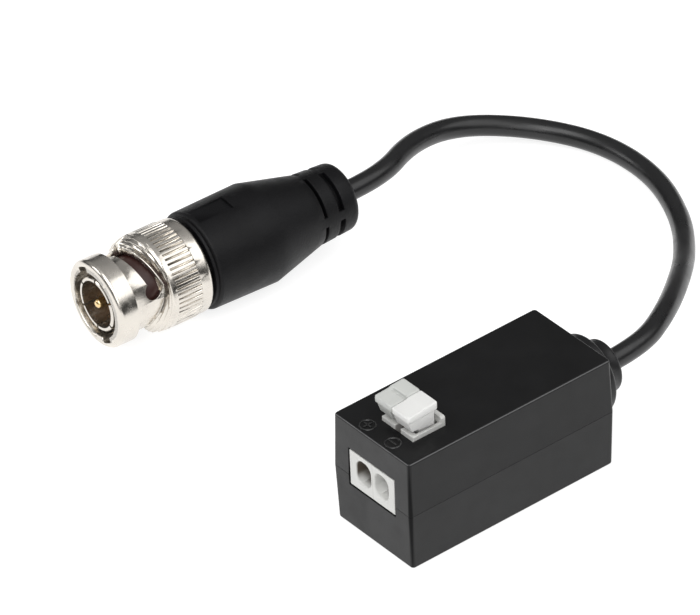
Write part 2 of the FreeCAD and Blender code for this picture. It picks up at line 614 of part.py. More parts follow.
def make_cable_relief():
    """The stepped relief that holds the cable in the rear wall, with a collar inside."""
    body = new_body("cable_relief")
    inner = INSIDE_END
    outer = "housing_length"
    gap = "fit_gap / 2"
    turning = turn_profile(body, [
        ("cable_radius", f"{inner} - relief_collar_length - {gap}"),
        ("relief_collar", f"{inner} - relief_collar_length - {gap}"),
        ("relief_collar", f"{inner} - {gap}"),
        (f"relief_neck - {gap}", f"{inner} - {gap}"),
        (f"relief_neck - {gap}", outer),
        ("relief_flange", outer),
        ("relief_flange", f"{outer} + relief_step"),
        ("relief_radius", f"{outer} + relief_step"),
        ("relief_radius", f"{outer} + relief_length"),
        ("cable_radius", f"{outer} + relief_length")])
    step = size(f"{outer} + relief_step")
    end = size(f"{outer} + relief_length")
    dress(body, "Fillet", "relief_rounding_edges", turning,
          lambda edge: lies_at(edge, size("relief_flange"), step)
          or lies_at(edge, size("relief_radius"), end), "relief_rounding")
    piece = in_box(body)
    piece.setExpression("Placement.Base.z", bound("cable_height"))
    return piece


def make_box_tail():
    """The cable's end inside the relief, cut off just behind its collar."""
    body = new_body("cable_tail_box")
    start = TAIL_START
    turn_profile(body, [("0", start), ("cable_radius", start),
                        ("cable_radius", "housing_length + relief_length"),
                        ("0", "housing_length + relief_length")])
    piece = in_box(body)
    piece.setExpression("Placement.Base.z", bound("cable_height"))
    return piece


def make_lead(label, kind):
    """A stripped lead: straight out of the cable's end, then down onto the board."""
    lead = doc.addObject("Part::Feature", label)
    lead.Label = label
    start, across, reach = size(TAIL_START), size(f"{kind}_across"), size(f"{kind}_reach")
    high, low = size("cable_height"), size(BOARD_TOP)
    thick = size(f"{kind}_radius")
    route = [Vector(across, start, high), Vector(across, start - reach, high),
             Vector(across, start - reach, low)]
    lead.Shape = sweep_round(route, thick)[0]
    return in_box(lead)


def sweep_round(route, radius):
    """A round tube on straight runs joined by tangent arcs, with its arcs' radii."""
    corners = [Vector(point) for point in route]
    pieces, radii = [], []
    here = corners[0]
    for before, corner, after in zip(corners, corners[1:], corners[2:]):
        arriving, leaving = corner - before, after - corner
        turn = arriving.getAngle(leaving)
        setback = 0.45 * min(arriving.Length, leaving.Length)
        radii.append(setback / math.tan(turn / 2))
        start = corner - arriving * (setback / arriving.Length)
        end = corner + leaving * (setback / leaving.Length)
        toward = (start + end) * 0.5 - corner
        toward.normalize()
        crown = corner + toward * (radii[-1] / math.cos(turn / 2) - radii[-1])
        pieces.append(Part.LineSegment(here, start).toShape())
        pieces.append(Part.Arc(start, crown, end).toShape())
        here = end
    pieces.append(Part.LineSegment(here, corners[-1]).toShape())
    path = Part.Wire(pieces)
    heading = corners[1] - corners[0]
    section = Part.Wire(Part.makeCircle(radius, corners[0], heading))
    tube = path.makePipeShell([section], True, True)
    return tube, radii, path.Length


def plug_point(along):
    """A place on the plug's axis, that far behind the nut's open face."""
    yaw = math.radians(size("plug_yaw"))
    start = Vector(size("plug_across"), size("plug_along"), size("plug_height"))
    return start + Vector(math.sin(yaw), math.cos(yaw), 0) * along


# The cable's way from the box round to the plug, as the loop lies: it leaves the relief,
# sinks to the surface, crosses over behind the box and climbs back into the boot.
CABLE_POINTS = [
    (0.0, 27.0, 9.6), (-4.1, 34.7, 8.9), (-10.6, 42.8, 6.7), (-17.9, 50.4, 3.9),
    (-27.0, 57.4, 2.0), (-37.6, 61.7, 1.6), (-48.6, 61.4, 1.6), (-58.0, 55.9, 2.1),
    (-63.4, 46.6, 4.0), (-61.9, 36.8, 6.3), (-56.8, 27.4, 7.5),
]


def make_cable():
    cable = doc.addObject("Part::Feature", "cable")
    cable.Label = "cable"
    leave = Vector(0, size("(housing_length + relief_length) / 2"), size("cable_height"))
    arrive = plug_point(size(BOOT_END))
    route = [leave] + [Vector(*point) for point in CABLE_POINTS] + [arrive]
    radius = size("cable_radius")
    cable.Shape, radii, length = sweep_round(route, radius)
    section = math.pi * radius ** 2
    print("cable length %.1f, radii %s" % (length, [round(r, 1) for r in radii]))
    print("cable volume over section times length: %.4f" % (cable.Shape.Volume / section / length))
    cable.Placement = FreeCAD.Placement()
    PIECES.append(cable)
    return cable


def make_nut_blank():
    """The turned nut with its straight knurl, before the bayonet slots are cut."""
    body = new_body("nut_blank")
    dome = [(f"nut_barrel_radius + {high} * (nut_grip_radius - nut_barrel_radius)",
             f"nut_collar_start + {far} * (nut_collar_end - nut_collar_start)")
            for far, high in COLLAR_LANDS]
    knurl_start = "nut_collar_end + nut_rim_length"
    knurl_end = f"{knurl_start} + knurl_length"
    turning = turn_profile(body, [
        ("nut_bore", "0"), ("nut_ring_radius", "0"), ("nut_ring_radius", "nut_ring_length"),
        ("nut_barrel_radius", "nut_ring_length")] + dome + [
        ("nut_grip_radius", f"{knurl_end}"),
        ("nut_band_radius", f"{knurl_end} + 0.1"), ("nut_band_radius", "nut_length"),
        ("nut_skirt_radius", "nut_length"),
        ("nut_skirt_radius", "nut_shoulder_start + nut_shoulder_length"),
        ("body_neck_radius + running_gap", "nut_shoulder_start + nut_shoulder_length"),
        ("body_neck_radius + running_gap", "nut_shoulder_start"),
        ("nut_bore", "nut_shoulder_start")])
    rounded = dress(body, "Fillet", "nut_edges", turning,
                    lambda edge: lies_at(edge, size("nut_ring_radius"), 0)
                    or lies_at(edge, size("nut_band_radius"), size("nut_length")), "nut_edge")
    groove = new_sketch(body, "XZ_Plane", "knurl_groove", f"-({knurl_start})")
    half = f"nut_grip_radius * 3.1416 / {KNURL_TEETH} * 0.45"
    root, crest = "nut_grip_radius - knurl_depth", "nut_grip_radius + 0.05"
    outline(groove, [(f"-({half})", crest), (f"-({half}) * 0.3", root), (f"{half} * 0.3", root),
                     (half, crest)])
    cut = extrude(body, "Pocket", "knurl_cut", groove, "knurl_length")
    circular(body, "knurl", cut, KNURL_TEETH)
    return body


def bayonet_cutter():
    """Both lug paths: an entry under the front ring, a ramp and an eye, with the
    collar's front face cut back along them down to the barrel."""
    half = size("slot_width") / 2
    entry, sweep = size("slot_entry_angle"), size("slot_sweep")
    low, rise, bend = size("slot_entry_end"), size("slot_rise"), size("slot_bend")
    over = size("slot_overrun")
    inner, outer = size("nut_bore") - over / 2, size("nut_grip_radius") + over
    middle_radius = size("nut_barrel_radius")

    def along(share):
        return low + rise * share ** bend

    def lean(share):
        return math.atan(bend * rise * share ** (bend - 1) / (math.radians(sweep) * middle_radius))

    def spot(radius, degrees, distance):
        angle = math.radians(degrees)
        return Vector(radius * math.sin(angle), distance, radius * math.cos(angle))

    steps = 6
    gates = []
    for step in range(steps + 1):
        share = step / steps
        tilt = lean(share)
        degrees = entry + share * sweep
        heading = math.radians(degrees)
        aside = Vector(math.cos(heading) * math.sin(tilt), -math.cos(tilt),
                       -math.sin(heading) * math.sin(tilt)) * half
        near, far = spot(inner, degrees, along(share)), spot(outer, degrees, along(share))
        corners = [near + aside, far + aside, far - aside, near - aside]
        gates.append(Part.makePolygon(corners + corners[:1]))
    ramp = Part.makeLoft(gates, True, True)

    def peg(radius, degrees, distance):
        foot = spot(inner, degrees, distance)
        return Part.makeCylinder(radius, outer - inner, foot, spot(1, degrees, 0))

    start = peg(half + 0.05, entry, low)
    landing = peg(half + 0.05, entry + sweep, along(1))
    eye = peg(size("eye_radius"), entry + sweep + size("eye_turn"), along(1) - size("eye_back"))
    axial = Part.makeBox(2 * half, low + over, outer - inner, Vector(-half, -over, inner))
    axial.rotate(Vector(), Vector(0, 1, 0), entry)
    path = ramp
    for piece in (axial, start, landing, eye):
        path = path.fuse(piece)
    ring_end = size("nut_ring_length")
    guard = Part.makeCylinder(outer + over, ring_end + 2 * over, Vector(0, -2 * over, 0),
                              Vector(0, 1, 0))
    keep = Part.makeCylinder(size("nut_ring_radius - slot_skin"), ring_end + 4 * over,
                             Vector(0, -3 * over, 0), Vector(0, 1, 0))
    path = path.cut(guard.cut(keep))

    crest, climb = size("nut_collar_end"), size("nut_grip_radius") - middle_radius

    def collar_gate(degrees, distance):
        front = low - half
        lands = [(middle_radius + high * climb, distance + far * (crest - distance))
                 for far, high in COLLAR_LANDS]
        corners = [(inner, distance), (inner, front), (outer, front), (outer, crest)]
        points = [spot(radius, degrees, place) for radius, place in corners + lands[::-1]]
        return Part.makePolygon(points + points[:1])

    def rear_edge(share):
        return along(share) + half / math.cos(lean(share)) + size("slot_land")

    cuts = [collar_gate(entry - size("collar_lead"), rear_edge(0))]
    cuts += [collar_gate(entry + step / steps * sweep, rear_edge(step / steps))
             for step in range(1, steps + 1)]
    back = rear_edge(1) - size("nut_collar_start") + 0.03
    for step in range(1, steps + 1):
        fall = (1 - math.cos(math.pi * step / steps)) / 2
        cuts.append(collar_gate(entry + sweep + step / steps * size("collar_return"),
                                rear_edge(1) - fall * back))
    barrel = Part.makeCylinder(middle_radius, size("nut_length"), Vector(), Vector(0, 1, 0))
    face = Part.makeLoft(cuts, True, True)
    if face.Volume < 0:
        face.reverse()
    face = face.cut(barrel)
    pairs = []
    for piece in (path, face):
        other = piece.copy()
        other.rotate(Vector(), Vector(0, 1, 0), 180)
        pairs.append(Part.makeCompound([piece, other]))
    return pairs


def make_coupling_nut():
    blank = make_nut_blank()
    slots, faces = bayonet_cutter()
    for name, shape in (("collar_face", faces), ("bayonet_slots", slots)):
        cutter = doc.addObject("Part::Feature", name)
        cutter.Shape = shape
        nut = doc.addObject("Part::Cut", f"nut_with_{name}")
        nut.Base = blank
        nut.Tool = cutter
        blank = nut
    nut.Label = "coupling_nut"
    return on_plug(nut)


def make_plug_body():
    """The turned body: front flange, neck for the nut, and a stem for the crimp."""
    body = new_body("plug_body")
    flange_end = "body_flange_start + body_flange_length"
    clip_start = "nut_shoulder_start + nut_shoulder_length + washer_thickness + 0.06"
    clip_end = f"{clip_start} + clip_thickness"
    turn_profile(body, [
        (SLEEVE_BORE, "body_flange_start + sleeve_seat"),
        ("sleeve_radius", "body_flange_start + sleeve_seat"),
        ("sleeve_radius", "body_flange_start"), ("body_flange_radius", "body_flange_start"),
        ("body_flange_radius", flange_end), ("body_neck_radius", flange_end),
        ("body_neck_radius", clip_start), ("body_neck_radius - clip_bite", clip_start),
        ("body_neck_radius - clip_bite", clip_end), ("body_neck_radius", clip_end),
        ("body_neck_radius", "body_end"), ("stem_radius", "body_end"),
        ("stem_radius", "crimp_end"), ("stem_bore", "crimp_end"),
        ("stem_bore", "body_end - 1.5"), (SLEEVE_BORE, "body_end - 1.5")])
    return on_plug(body)


def make_outer_contact():
    """The slotted contact sleeve."""
    body = new_body("outer_contact")
    end = "body_flange_start + sleeve_seat"
    turning = turn_profile(body, [
        (SLEEVE_BORE, "sleeve_start"), ("sleeve_radius", "sleeve_start"),
        ("sleeve_radius", end), (SLEEVE_BORE, end)])
    mouth = size("sleeve_start")
    dress(body, "Chamfer", "sleeve_mouth", turning,
          lambda edge: lies_at(edge, size("sleeve_radius"), mouth), "sleeve_wall / 4")
    slit = new_sketch(body, "XZ_Plane", "slit")
    rectangle(slit, "-slit_width / 2", "slit_width / 2", f"{SLEEVE_BORE} - 0.4", "sleeve_radius + 0.4")
    cut = extrude(body, "Pocket", "slit_cut", slit, "sleeve_start + slit_length")
    circular(body, "slits", cut, SLEEVE_SLITS)
    return on_plug(body)


def make_insulator():
    body = new_body("insulator")
    bore = "pin_root_radius"
    turn_profile(body, [
        (bore, "insulator_start"), (f"{SLEEVE_BORE} - fit_gap / 2", "insulator_start"),
        (f"{SLEEVE_BORE} - fit_gap / 2", "body_end - 1.6"), (bore, "body_end - 1.6")])
    return on_plug(body)


def make_center_pin():
    body = new_body("center_pin")
    start = "insulator_start - 0.4"
    turning = turn_profile(body, [
        ("0", "pin_start"), ("pin_radius", "pin_start"), ("pin_radius", start),
        ("pin_root_radius", start), ("pin_root_radius", "pin_end"), ("0", "pin_end")])
    tip = size("pin_start")
    dress(body, "Fillet", "pin_tip", turning,
          lambda edge: lies_at(edge, size("pin_radius"), tip), "pin_radius * 0.85")
    return on_plug(body)


def make_gasket():
    body = new_body("gasket")
    inside = "sleeve_radius + fit_gap / 4"
    turning = turn_profile(body, [
        (inside, "gasket_start"), ("sleeve_radius + gasket_thickness", "gasket_start"),
        ("sleeve_radius + gasket_thickness", "body_flange_start"), (inside, "body_flange_start")])
    dress(body, "Chamfer", "gasket_lip", turning,
          lambda edge: lies_at(edge, size("sleeve_radius + gasket_thickness"),
                               size("gasket_start")), "gasket_thickness / 3")
    return on_plug(body)


def make_wave_washer():
    """A spring washer with three waves between the flange and the nut's shoulder."""
    washer = doc.addObject("Part::Feature", "wave_washer")
    washer.Label = "wave_washer"
    inner, outer = size("body_neck_radius + fit_gap"), size("body_flange_radius - fit_gap / 2")
    low = size("body_flange_start + body_flange_length")
    high = size("nut_shoulder_start")
    thick, wave = size("wave_thickness"), size("wave_height")
    centre = (low + high) / 2
    headings = [math.radians(turn) for turn in range(0, 360, 15)]
    rails = []
    for radius in (inner, outer):
        for lift in (-thick / 2, thick / 2):
            ring_points = [Vector(radius * math.sin(heading),
                                  centre + lift + wave * 0.9 * math.cos(3 * heading),
                                  radius * math.cos(heading)) for heading in headings]
            curve = Part.BSplineCurve()
            curve.interpolate(ring_points, PeriodicFlag=True)
            rails.append(curve.toShape())
    inner_low, inner_high, outer_low, outer_high = rails
    faces = [Part.makeRuledSurface(inner_low, outer_low), Part.makeRuledSurface(inner_high, outer_high),
             Part.makeRuledSurface(inner_low, inner_high), Part.makeRuledSurface(outer_low, outer_high)]
    shell = Part.makeShell([face for surface in faces for face in surface.Faces])
    shell.sewShape()
    solid = Part.makeSolid(shell)
    if solid.Volume < 0:
        solid.reverse()
    washer.Shape = solid
    return on_plug(washer)


def make_thrust_washer():
    body = new_body("thrust_washer")
    start = "nut_shoulder_start + nut_shoulder_length + 0.03"
    turn_profile(body, [
        ("body_neck_radius + running_gap", start), ("washer_radius", start),
        ("washer_radius", f"{start} + washer_thickness"),
        ("body_neck_radius + running_gap", f"{start} + washer_thickness")])
    return on_plug(body)


def make_retaining_ring():
    """An open clip in the neck's groove."""
    body = new_body("retaining_ring")
    start = "nut_shoulder_start + nut_shoulder_length + washer_thickness + 0.06"
    sketch = new_sketch(body, "XY_Plane", "clip_section")
    rectangle(sketch, "body_neck_radius - clip_bite + clip_play", "clip_radius",
              f"{start} + clip_play", f"{start} + clip_thickness - clip_play")
    clip = body.newObject("PartDesign::Revolution", "clip_turning")
    clip.Profile = sketch
    clip.ReferenceAxis = (sketch, ["V_Axis"])
    clip.setExpression("Angle", bound("360 - clip_opening"))
    return on_plug(body)


def make_crimp_ferrule():
    body = new_body("crimp_ferrule")
    turn_profile(body, [
        ("stem_radius", "ferrule_start"), ("stem_radius + ferrule_wall", "ferrule_start"),
        ("stem_radius + ferrule_wall", "ferrule_end"), ("cable_radius", "ferrule_end"),
        ("cable_radius", "crimp_end + 0.1"), ("stem_radius", "crimp_end + 0.1")])
    return on_plug(body)


def make_plug_tail():
    """The cable's end inside the boot."""
    body = new_body("cable_tail_plug")
    turn_profile(body, [("0", "pin_end"), ("cable_radius", "pin_end"),
                        ("cable_radius", BOOT_END), ("0", BOOT_END)])
    return on_plug(body)


def make_plug_boot():
    """The moulded boot: barrel, cone and a tail with two interrupted grooves."""
    body = new_body("plug_boot")
    bore = "stem_radius + ferrule_wall"
    turning = turn_profile(body, [
        (bore, BOOT_START), ("boot_nose", BOOT_START),
        ("boot_nose", f"{BOOT_START} + boot_nose_length"),
        ("boot_radius", f"{BOOT_START} + boot_nose_length"),
        ("boot_radius + boot_swell", "boot_taper_start"),
        ("boot_tail_radius", "boot_taper_end"),
        ("boot_flange_radius", BOOT_END), ("cable_radius", BOOT_END),
        ("cable_radius", "ferrule_end"), (bore, "ferrule_end")])
    start, end = size(f"{BOOT_START} + boot_nose_length"), size(BOOT_END)
    front = dress(body, "Fillet", "boot_front_edge", turning,
                  lambda edge: lies_at(edge, size("boot_radius"), start), "boot_edge")
    dress(body, "Fillet", "boot_end_edge_round", front,
          lambda edge: lies_at(edge, size("boot_flange_radius"), end), "boot_end_edge")
    grooves = new_sketch(body, "XY_Plane", "tail_grooves")
    floor, rim = "boot_flange_radius - boot_groove_depth", "boot_tail_radius + 0.6"
    first = "boot_taper_end"
    second = f"{first} + boot_groove_1 + boot_ring"
    rectangle(grooves, floor, rim, first, f"{first} + boot_groove_1", "first")
    rectangle(grooves, floor, rim, second, f"{second} + boot_groove_2", "second")
    groove = body.newObject("PartDesign::Groove", "tail_groove")
    groove.Profile = grooves
    groove.ReferenceAxis = (grooves, ["V_Axis"])
    groove.setExpression("Angle", bound("90 - boot_web"))
    circular(body, "tail_groove_pattern", groove, 4)
    panel = new_sketch(body, "XY_Plane", "panel_outline", "boot_radius + boot_swell + 0.2")
    rectangle(panel, "-panel_width / 2", "panel_width / 2",
              "panel_start", "panel_start + panel_length")
    extrude(body, "Pocket", "panel_recess", panel, "panel_depth + boot_swell + 0.2")
    return on_plug(body)


def make_all():
    make_upper_shell()
    make_lower_shell()
    make_terminal_body()
    for side, centre in POLES.items():
        make_lever(side, centre)
        make_clamp_spring(side, centre)
        make_contact_bar(side, centre)
    make_circuit_board()
    make_toroid_core()
    make_winding("winding_primary", -55, 6)
    make_winding("winding_secondary", 125, 6)
    make_chips("chip_resistors", f"({BLOCK_END} + resistor_gap)", "resistor_spread")
    make_chips("chip_capacitors", f"({LEAD_BACK} - capacitor_gap - chip_length)",
               "capacitor_spread")
    make_surge_diode()
    make_cable_relief()
    make_box_tail()
    make_lead("signal_wire", "core_wire")
    make_lead("shield_wire", "shield_wire")
    make_cable()
    make_plug_boot()
    make_plug_tail()
    make_crimp_ferrule()
    make_plug_body()
    make_outer_contact()
    make_insulator()
    make_center_pin()
    make_gasket()
    make_wave_washer()
    make_thrust_washer()
    make_retaining_ring()
    make_coupling_nut()


def check_and_export():
    doc.recompute()
    for item in doc.Objects:
        if {"Invalid", "Error"} & set(item.State):
            raise RuntimeError(f"{item.Name} failed: {item.State}")
    for piece in PIECES:
        shape = piece.Shape
        if shape.isNull() or not shape.isValid() or shape.Volume <= 0:
            raise RuntimeError(f"{piece.Label} has no sound shape")
    os.makedirs("parts", exist_ok=True)
    for piece in PIECES:
        piece.Shape.exportStep(os.path.join("parts", f"{piece.Label}.step"))
        box = piece.Shape.BoundBox
        print("%-18s solids %d volume %8.1f  x %6.1f..%6.1f y %6.1f..%6.1f z %6.2f..%6.2f" % (
            piece.Label, len(piece.Shape.Solids), piece.Shape.Volume,
            box.XMin, box.XMax, box.YMin, box.YMax, box.ZMin, box.ZMax))


make_all()
check_and_export()
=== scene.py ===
"""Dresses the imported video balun: camera, finishes, eased edges, the levers' skirts, polarity
signs, the pigtail's cable and the studio. Everything is in metres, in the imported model's frame."""

import math

import bmesh
import bpy
from mathutils import Matrix, Vector


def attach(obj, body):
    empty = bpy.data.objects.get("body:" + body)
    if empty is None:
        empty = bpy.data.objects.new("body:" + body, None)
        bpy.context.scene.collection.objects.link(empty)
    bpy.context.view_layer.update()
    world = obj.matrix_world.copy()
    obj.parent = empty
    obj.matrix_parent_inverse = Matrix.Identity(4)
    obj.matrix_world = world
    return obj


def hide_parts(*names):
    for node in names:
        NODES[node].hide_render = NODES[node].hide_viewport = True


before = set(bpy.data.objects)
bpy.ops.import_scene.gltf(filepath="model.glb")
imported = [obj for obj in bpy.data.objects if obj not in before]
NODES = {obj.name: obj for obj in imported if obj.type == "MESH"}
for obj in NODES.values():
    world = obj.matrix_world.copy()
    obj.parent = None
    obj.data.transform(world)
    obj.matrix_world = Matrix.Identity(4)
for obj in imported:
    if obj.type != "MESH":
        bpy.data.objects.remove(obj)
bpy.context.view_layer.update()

MM = 0.001
HOUSING_HEIGHT = 17.45 * MM
FRONT = -20.5 * MM
LEVER_PLACES = {"left": -1.11, "right": 2.51}
CABLE_RADIUS = 1.55 * MM
CABLE_OUTLET = (0.0, 20.5, 9.6)
PLUG_START = Vector((-59.55, -21.45, 7.5)) * MM
PLUG_YAW = math.radians(3.2)
PLUG_AXIS = Vector((math.sin(PLUG_YAW), math.cos(PLUG_YAW), 0))
BOOT_END = 41.9 * MM

PHOTO_WIDTH = 700
FOCAL_PIXELS = 8000
SENSOR_WIDTH = 36
CAMERA_PLACE = (669.837, -536.733, 660.112)
CAMERA_ANGLES = (52.5, 36.28, -2.62)

# Where most of a noise pattern's values lie
PATTERN_LOW, PATTERN_HIGH = 0.3, 0.7
# Faces that meet at less than this angle, in degrees, are shaded as one
SMOOTH_ANGLE = 30
# The same over a rounded edge, whose steps are 30 degrees
EASED_ANGLE = 42


# Camera: a long lens, set by the box's corners in the photograph

def place_camera():
    azimuth, elevation, roll = (math.radians(angle) for angle in CAMERA_ANGLES)
    back = Vector((math.sin(azimuth) * math.cos(elevation),
                   -math.cos(azimuth) * math.cos(elevation), math.sin(elevation)))
    right = Vector((math.cos(azimuth), math.sin(azimuth), 0))
    up = back.cross(right)
    turned_right = right * math.cos(roll) + up * math.sin(roll)
    turned_up = up * math.cos(roll) - right * math.sin(roll)
    data = bpy.data.cameras.new("photo_camera")
    data.sensor_width = SENSOR_WIDTH
    data.lens = SENSOR_WIDTH * FOCAL_PIXELS / PHOTO_WIDTH
    data.clip_end = 20
    camera = bpy.data.objects.new("photo_camera", data)
    turn = Matrix((turned_right, turned_up, back)).transposed().to_4x4()
    camera.matrix_world = Matrix.Translation(Vector(CAMERA_PLACE) * MM) @ turn
    bpy.context.scene.collection.objects.link(camera)
    bpy.context.scene.camera = camera


place_camera()


# Finishes

def new_finish(name, colour, roughness, metallic=0.0, **sockets):
    material = bpy.data.materials.new(name)
    material.use_nodes = True
    shader = material.node_tree.nodes["Principled BSDF"]
    shader.inputs["Base Color"].default_value = (*colour, 1)
    shader.inputs["Roughness"].default_value = roughness
    shader.inputs["Metallic"].default_value = metallic
    for socket, value in sockets.items():
        shader.inputs[socket.replace("_", " ")].default_value = value
    return material


def object_point(material, turn=0.0, stretch=(1, 1, 1)):
    """The point on the piece in the model's frame, turned about Z and stretched."""
    nodes, links = material.node_tree.nodes, material.node_tree.links
    place = nodes.new("ShaderNodeTexCoord")
    mapping = nodes.new("ShaderNodeMapping")
    mapping.inputs["Rotation"].default_value = (0, 0, turn)
    mapping.inputs["Scale"].default_value = stretch
    links.new(place.outputs["Object"], mapping.inputs["Vector"])
    return mapping.outputs["Vector"]


def speckle(material, point, scale, detail):
    """A cloudy pattern, with scale clouds to the metre."""
    nodes, links = material.node_tree.nodes, material.node_tree.links
    noise = nodes.new("ShaderNodeTexNoise")
    noise.inputs["Scale"].default_value = scale
    noise.inputs["Detail"].default_value = detail
    links.new(point, noise.inputs["Vector"])
    return noise.outputs["Fac"]


def spread(material, source, low, high):
    """Maps a pattern to a range of numbers."""
    nodes, links = material.node_tree.nodes, material.node_tree.links
    ranged = nodes.new("ShaderNodeMapRange")
    for socket, value in zip(("From Min", "From Max", "To Min", "To Max"),
                             (PATTERN_LOW, PATTERN_HIGH, low, high)):
        ranged.inputs[socket].default_value = value
    links.new(source, ranged.inputs["Value"])
    return ranged.outputs["Result"]


def tint(material, source, dark, light):
    """Colours the piece between two shades by a pattern."""
    nodes, links = material.node_tree.nodes, material.node_tree.links
    ramp = nodes.new("ShaderNodeValToRGB")
    ramp.color_ramp.elements[0].position = PATTERN_LOW
    ramp.color_ramp.elements[0].color = (*dark, 1)
    ramp.color_ramp.elements[1].position = PATTERN_HIGH
    ramp.color_ramp.elements[1].color = (*light, 1)
    links.new(source, ramp.inputs["Fac"])
    links.new(ramp.outputs["Color"], nodes["Principled BSDF"].inputs["Base Color"])


def vary_roughness(material, source, low, high):
    shader = material.node_tree.nodes["Principled BSDF"]
    material.node_tree.links.new(spread(material, source, low, high), shader.inputs["Roughness"])


def relief(material, source, depth):
    """Raises the surface by a pattern; several calls stack up."""
    nodes, links = material.node_tree.nodes, material.node_tree.links
    shader = nodes["Principled BSDF"]
    bump = nodes.new("ShaderNodeBump")
    bump.inputs["Distance"].default_value = depth
    bump.inputs["Strength"].default_value = 1.0
    links.new(source, bump.inputs["Height"])
    if shader.inputs["Normal"].links:
        links.new(shader.inputs["Normal"].links[0].from_socket, bump.inputs["Normal"])
    links.new(bump.outputs["Normal"], shader.inputs["Normal"])


def moulded(name, colour, roughness, grain, depth, lift=1.35, **sockets):
    """Moulded plastic: an even fine grain, faint mottling and slight gloss changes."""
    material = new_finish(name, colour, roughness, **sockets)
    point = object_point(material)
    cloud = speckle(material, point, 180, 4)
    tint(material, cloud, [c / lift for c in colour], [c * lift for c in colour])
    vary_roughness(material, speckle(material, point, 420, 2), roughness - 0.04, roughness + 0.06)
    relief(material, speckle(material, point, grain, 2), depth)
    return material


def plated(name, colour, roughness, marks):
    """Bright plated metal with faint turning marks round the plug's axis."""
    material = new_finish(name, colour, roughness, metallic=1.0)
    point = object_point(material, turn=PLUG_YAW)
    along = object_point(material, turn=PLUG_YAW, stretch=(0.02, 1, 0.02))
    cloud = speckle(material, point, 260, 3)
    tint(material, cloud, [c * 0.93 for c in colour], [min(1, c * 1.04) for c in colour])
    vary_roughness(material, speckle(material, point, 900, 3), roughness * 0.75, roughness * 1.3)
    relief(material, speckle(material, along, 9000, 2), marks)
    relief(material, speckle(material, point, 1500, 2), marks * 0.6)
    return material


def region(material, axis, start, end):
    """Rises from 0 to 1 where a coordinate, in mm, goes from start to end."""
    nodes, links = material.node_tree.nodes, material.node_tree.links
    split = nodes.new("ShaderNodeSeparateXYZ")
    links.new(object_point(material), split.inputs["Vector"])
    ranged = nodes.new("ShaderNodeMapRange")
    ranged.interpolation_type = "SMOOTHSTEP"
    ranged.inputs["From Min"].default_value = start * MM
    ranged.inputs["From Max"].default_value = end * MM
    links.new(split.outputs[axis], ranged.inputs["Value"])
    return ranged.outputs["Result"]


def where_all(material, *spans):
    """Keeps only where every span holds: an axis, and where on it the region starts and ends."""
    nodes, links = material.node_tree.nodes, material.node_tree.links
    factor = region(material, *spans[0])
    for span in spans[1:]:
        product = nodes.new("ShaderNodeMath")
        product.operation = "MULTIPLY"
        links.new(factor, product.inputs[0])
        links.new(region(material, *span), product.inputs[1])
        factor = product.outputs["Value"]
    return factor


def paint(material, colour, *spans):
    """Lays a colour over the base colour where every span holds."""
    nodes, links = material.node_tree.nodes, material.node_tree.links
    base = nodes["Principled BSDF"].inputs["Base Color"]
    under = base.links[0].from_socket
    mix = nodes.new("ShaderNodeMix")
    mix.data_type = "RGBA"
    first, second = [socket for socket in mix.inputs if socket.type == "RGBA"]
    result = next(socket for socket in mix.outputs if socket.type == "RGBA")
    links.new(where_all(material, *spans), mix.inputs["Factor"])
    links.new(under, first)
    second.default_value = (*colour, 1)
    links.new(result, base)


def dull(material, level, *spans):
    """Lowers the gloss to the level where every span holds; several calls stack up."""
    nodes, links = material.node_tree.nodes, material.node_tree.links
    gloss = nodes["Principled BSDF"].inputs["Specular IOR Level"]
    ranged = nodes.new("ShaderNodeMapRange")
    ranged.inputs["To Min"].default_value = gloss.default_value
    ranged.inputs["To Max"].default_value = level
    if gloss.links:
        links.new(gloss.links[0].from_socket, ranged.inputs["To Min"])
    links.new(where_all(material, *spans), ranged.inputs["Value"])
    links.new(ranged.outputs["Result"], gloss)


housing_black = moulded("housing_black", (0.0045, 0.0045, 0.0048), 0.36, 5200, 1.0e-5,
                        Specular_IOR_Level=0.36)
sign_black = moulded("sign_black", (0.01, 0.01, 0.0105), 0.22, 5200, 4e-6,
                     Specular_IOR_Level=0.8)
boot_black = moulded("boot_black", (0.003, 0.003, 0.0036), 0.44, 5200, 6.0e-5,
                     Specular_IOR_Level=0.19)
relief_black = moulded("relief_black", (0.005, 0.005, 0.0055), 0.36, 5200, 8e-6,
                       Specular_IOR_Level=0.36)
jacket_black = moulded("jacket_black", (0.005, 0.005, 0.0055), 0.3, 2600, 6e-6)
terminal_white = moulded("terminal_white", (0.6, 0.6, 0.58), 0.38, 3000, 5e-6, lift=1.03)
lever_grey = moulded("lever_grey", (0.5, 0.51, 0.49), 0.36, 3000, 5e-6, lift=1.03)
lever_white = moulded("lever_white", (0.68, 0.68, 0.665), 0.34, 3000, 5e-6, lift=1.03)
insulator_brown = moulded("insulator_brown", (0.2, 0.115, 0.055), 0.4, 2600, 8e-6, lift=1.2)
gasket_red = moulded("gasket_red", (0.03, 0.009, 0.007), 0.4, 2600, 8e-6, lift=1.2)
nickel = plated("nickel_plate", (0.71, 0.67, 0.61), 0.23, 3e-6)
steel = plated("spring_steel", (0.6, 0.6, 0.6), 0.3, 4e-6)
gold = plated("gold_plate", (0.83, 0.62, 0.32), 0.2, 2e-6)
tin = plated("tin_plate", (0.68, 0.66, 0.62), 0.3, 4e-6)
copper = plated("copper_wire", (0.55, 0.22, 0.09), 0.35, 4e-6)
board_green = moulded("board_green", (0.02, 0.12, 0.05), 0.35, 3000, 6e-6)
ferrite_grey = moulded("ferrite_grey", (0.05, 0.05, 0.055), 0.6, 4000, 1.5e-5)
chip_dark = moulded("chip_dark", (0.04, 0.035, 0.03), 0.5, 4000, 8e-6)

